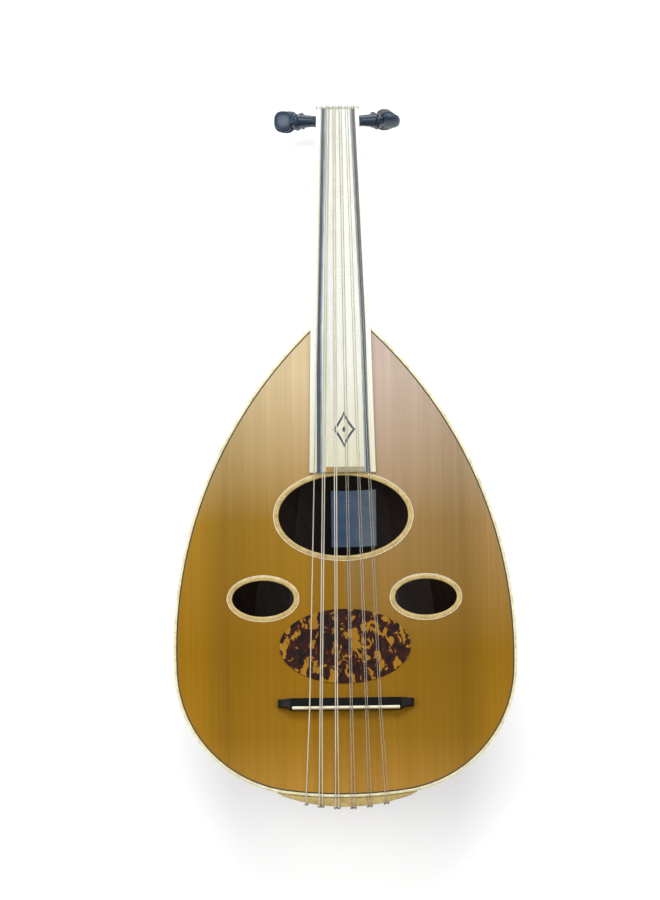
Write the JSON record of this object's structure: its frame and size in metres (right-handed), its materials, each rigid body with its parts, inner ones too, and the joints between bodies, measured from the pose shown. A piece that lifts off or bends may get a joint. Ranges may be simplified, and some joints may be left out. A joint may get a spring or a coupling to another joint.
{
  "type": "oud",
  "caption": "Pear-shaped short-necked lute with a ribbed bowl back, oval soundholes, floating bridge and a bent-back pegbox with friction pegs.",
  "frame": {"origin": "on the ground below the middle of the whole instrument, which lies on the back of its bowl and on the end of its pegbox", "axes": "+X across the face towards the treble side, +Y along the neck towards the nut, +Z out of the face"},
  "size_m": [0.34, 0.7723, 0.1932],
  "materials": {
    "soundboard_spruce": "satin",
    "light_maple": "satin",
    "fingerboard_maple": "gloss",
    "mottled_guard": "gloss",
    "ebony": "satin",
    "bone": "satin",
    "rib_wood": "gloss",
    "neck_wood": "satin",
    "block_wood": "matte",
    "wound_string": "satin",
    "nylon_string": "gloss"
  },
  "bodies": {
    "oud_body": {"soundboard": "soundboard_spruce", "edge_binding": "light_maple", "soundhole_ring_main": "light_maple", "soundhole_ring_bass": "light_maple", "soundhole_ring_treble": "light_maple", "plectrum_guard": "mottled_guard", "end_clasp": "light_maple", "tail_block": "block_wood", "neck_block": "block_wood", "neck": "neck_wood", "fingerboard": "fingerboard_maple", "nut": "bone", "pegbox_cheek_bass": "neck_wood", "pegbox_cheek_treble": "neck_wood", "pegbox_floor": "neck_wood", "pegbox_tip": "neck_wood", "rib_01": "rib_wood", "rib_02": "rib_wood", "rib_03": "rib_wood", "rib_04": "rib_wood", "rib_05": "rib_wood", "rib_06": "rib_wood", "rib_07": "rib_wood", "rib_08": "rib_wood", "rib_09": "rib_wood", "rib_10": "rib_wood", "rib_11": "rib_wood", "rib_12": "rib_wood", "rib_13": "rib_wood", "brace_1": "block_wood", "brace_2": "block_wood", "brace_3": "block_wood", "brace_4": "block_wood", "brace_5": "block_wood", "brace_6": "block_wood", "brace_7": "block_wood", "string_01": "wound_string", "string_02": "wound_string", "string_03": "wound_string", "string_04": "wound_string", "string_05": "wound_string", "string_06": "nylon_string", "string_07": "nylon_string", "string_08": "nylon_string", "string_09": "nylon_string", "string_10": "nylon_string", "string_11": "nylon_string"},
    "bridge": {"bridge_base": "ebony", "bridge_saddle": "bone"},
    "peg_01": {"peg_01": "ebony"},
    "peg_02": {"peg_02": "ebony"},
    "peg_03": {"peg_03": "ebony"},
    "peg_04": {"peg_04": "ebony"},
    "peg_05": {"peg_05": "ebony"},
    "peg_06": {"peg_06": "ebony"},
    "peg_07": {"peg_07": "ebony"},
    "peg_08": {"peg_08": "ebony"},
    "peg_09": {"peg_09": "ebony"},
    "peg_10": {"peg_10": "ebony"},
    "peg_11": {"peg_11": "ebony"}
  },
  "joints": [
    {"name": "bridge_shift", "type": "slide", "parent": "oud_body", "child": "bridge", "axis": [0, 1, 0], "range_m": [-0.005, 0.005], "deforming": ["string_01", "string_02", "string_03", "string_04", "string_05", "string_06", "string_07", "string_08", "string_09", "string_10", "string_11"]},
    {"name": "peg_01_turn", "type": "hinge", "parent": "oud_body", "child": "peg_01", "pos_m": [0, 0.33228, 0.14723], "axis": [-1, 0, 0], "range_deg": [-1080, 120]},
    {"name": "peg_02_turn", "type": "hinge", "parent": "oud_body", "child": "peg_02", "pos_m": [0, 0.3392, 0.12279], "axis": [-1, 0, 0], "range_deg": [-1080, 120]},
    {"name": "peg_03_turn", "type": "hinge", "parent": "oud_body", "child": "peg_03", "pos_m": [0, 0.34766, 0.09876], "axis": [-1, 0, 0], "range_deg": [-1080, 120]},
    {"name": "peg_04_turn", "type": "hinge", "parent": "oud_body", "child": "peg_04", "pos_m": [0, 0.35679, 0.07491], "axis": [-1, 0, 0], "range_deg": [-1080, 120]},
    {"name": "peg_05_turn", "type": "hinge", "parent": "oud_body", "child": "peg_05", "pos_m": [0, 0.36525, 0.05088], "axis": [-1, 0, 0], "range_deg": [-1080, 120]},
    {"name": "peg_06_turn", "type": "hinge", "parent": "oud_body", "child": "peg_06", "pos_m": [0, 0.37216, 0.02644], "axis": [-1, 0, 0], "range_deg": [-1080, 120]},
    {"name": "peg_07_turn", "type": "hinge", "parent": "oud_body", "child": "peg_07", "pos_m": [0, 0.36892, 0.03872], "axis": [-1, 0, 0], "range_deg": [-1080, 120]},
    {"name": "peg_08_turn", "type": "hinge", "parent": "oud_body", "child": "peg_08", "pos_m": [0, 0.36118, 0.06294], "axis": [-1, 0, 0], "range_deg": [-1080, 120]},
    {"name": "peg_09_turn", "type": "hinge", "parent": "oud_body", "child": "peg_09", "pos_m": [0, 0.35222, 0.08683], "axis": [-1, 0, 0], "range_deg": [-1080, 120]},
    {"name": "peg_10_turn", "type": "hinge", "parent": "oud_body", "child": "peg_10", "pos_m": [0, 0.34327, 0.11073], "axis": [-1, 0, 0], "range_deg": [-1080, 120]},
    {"name": "peg_11_turn", "type": "hinge", "parent": "oud_body", "child": "peg_11", "pos_m": [0, 0.33553, 0.13495], "axis": [-1, 0, 0], "range_deg": [-1080, 120]}
  ]
}
